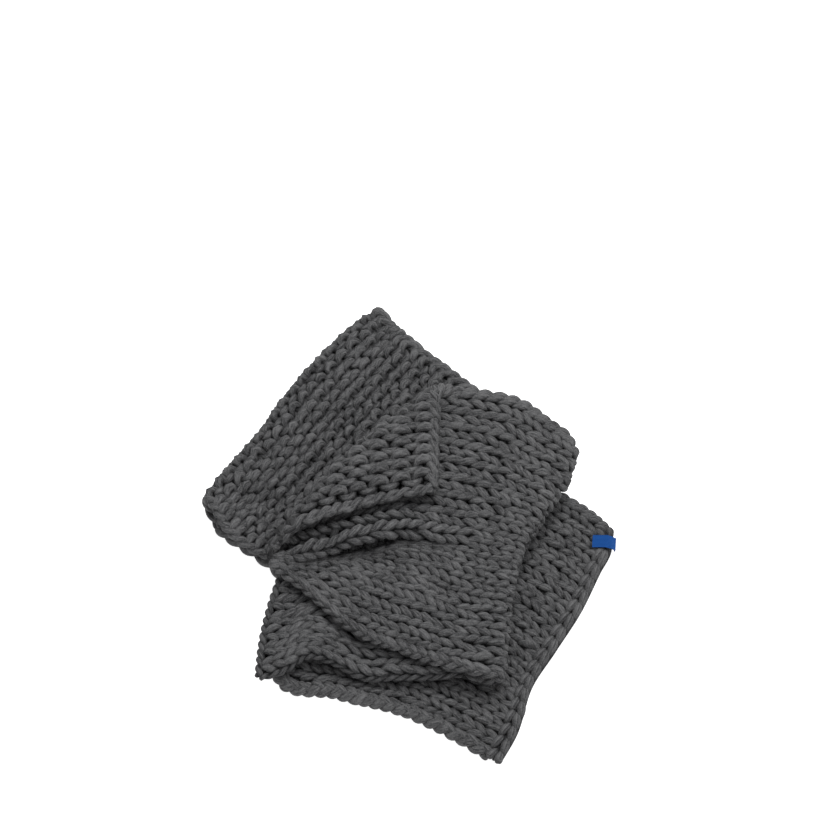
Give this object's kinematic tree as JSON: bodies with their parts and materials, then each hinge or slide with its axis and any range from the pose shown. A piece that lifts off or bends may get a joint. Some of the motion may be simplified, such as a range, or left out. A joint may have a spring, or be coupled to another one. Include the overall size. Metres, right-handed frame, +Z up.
{
  "type": "weighted blanket",
  "caption": "Chunky hand-knitted weighted blanket in charcoal grey, dropped in a loose folded heap with one corner turned over and a small woven label on its edge.",
  "frame": {"origin": "middle of the heap's footprint, on the surface it lies on", "axes": "+Z up from that surface, -Y towards the front of the heap, where the bottom layer shows, and +X towards the labelled corner"},
  "size_m": [0.8456, 0.9994, 0.159],
  "materials": {
    "knit": "thick tube yarn of soft brushed jersey, matt, charcoal grey",
    "label_weave": "narrow woven ribbon, matt mid blue, bare"
  },
  "bodies": {
    "root": {"blanket": "knit", "label": "label_weave"}
  },
  "joints": []
}
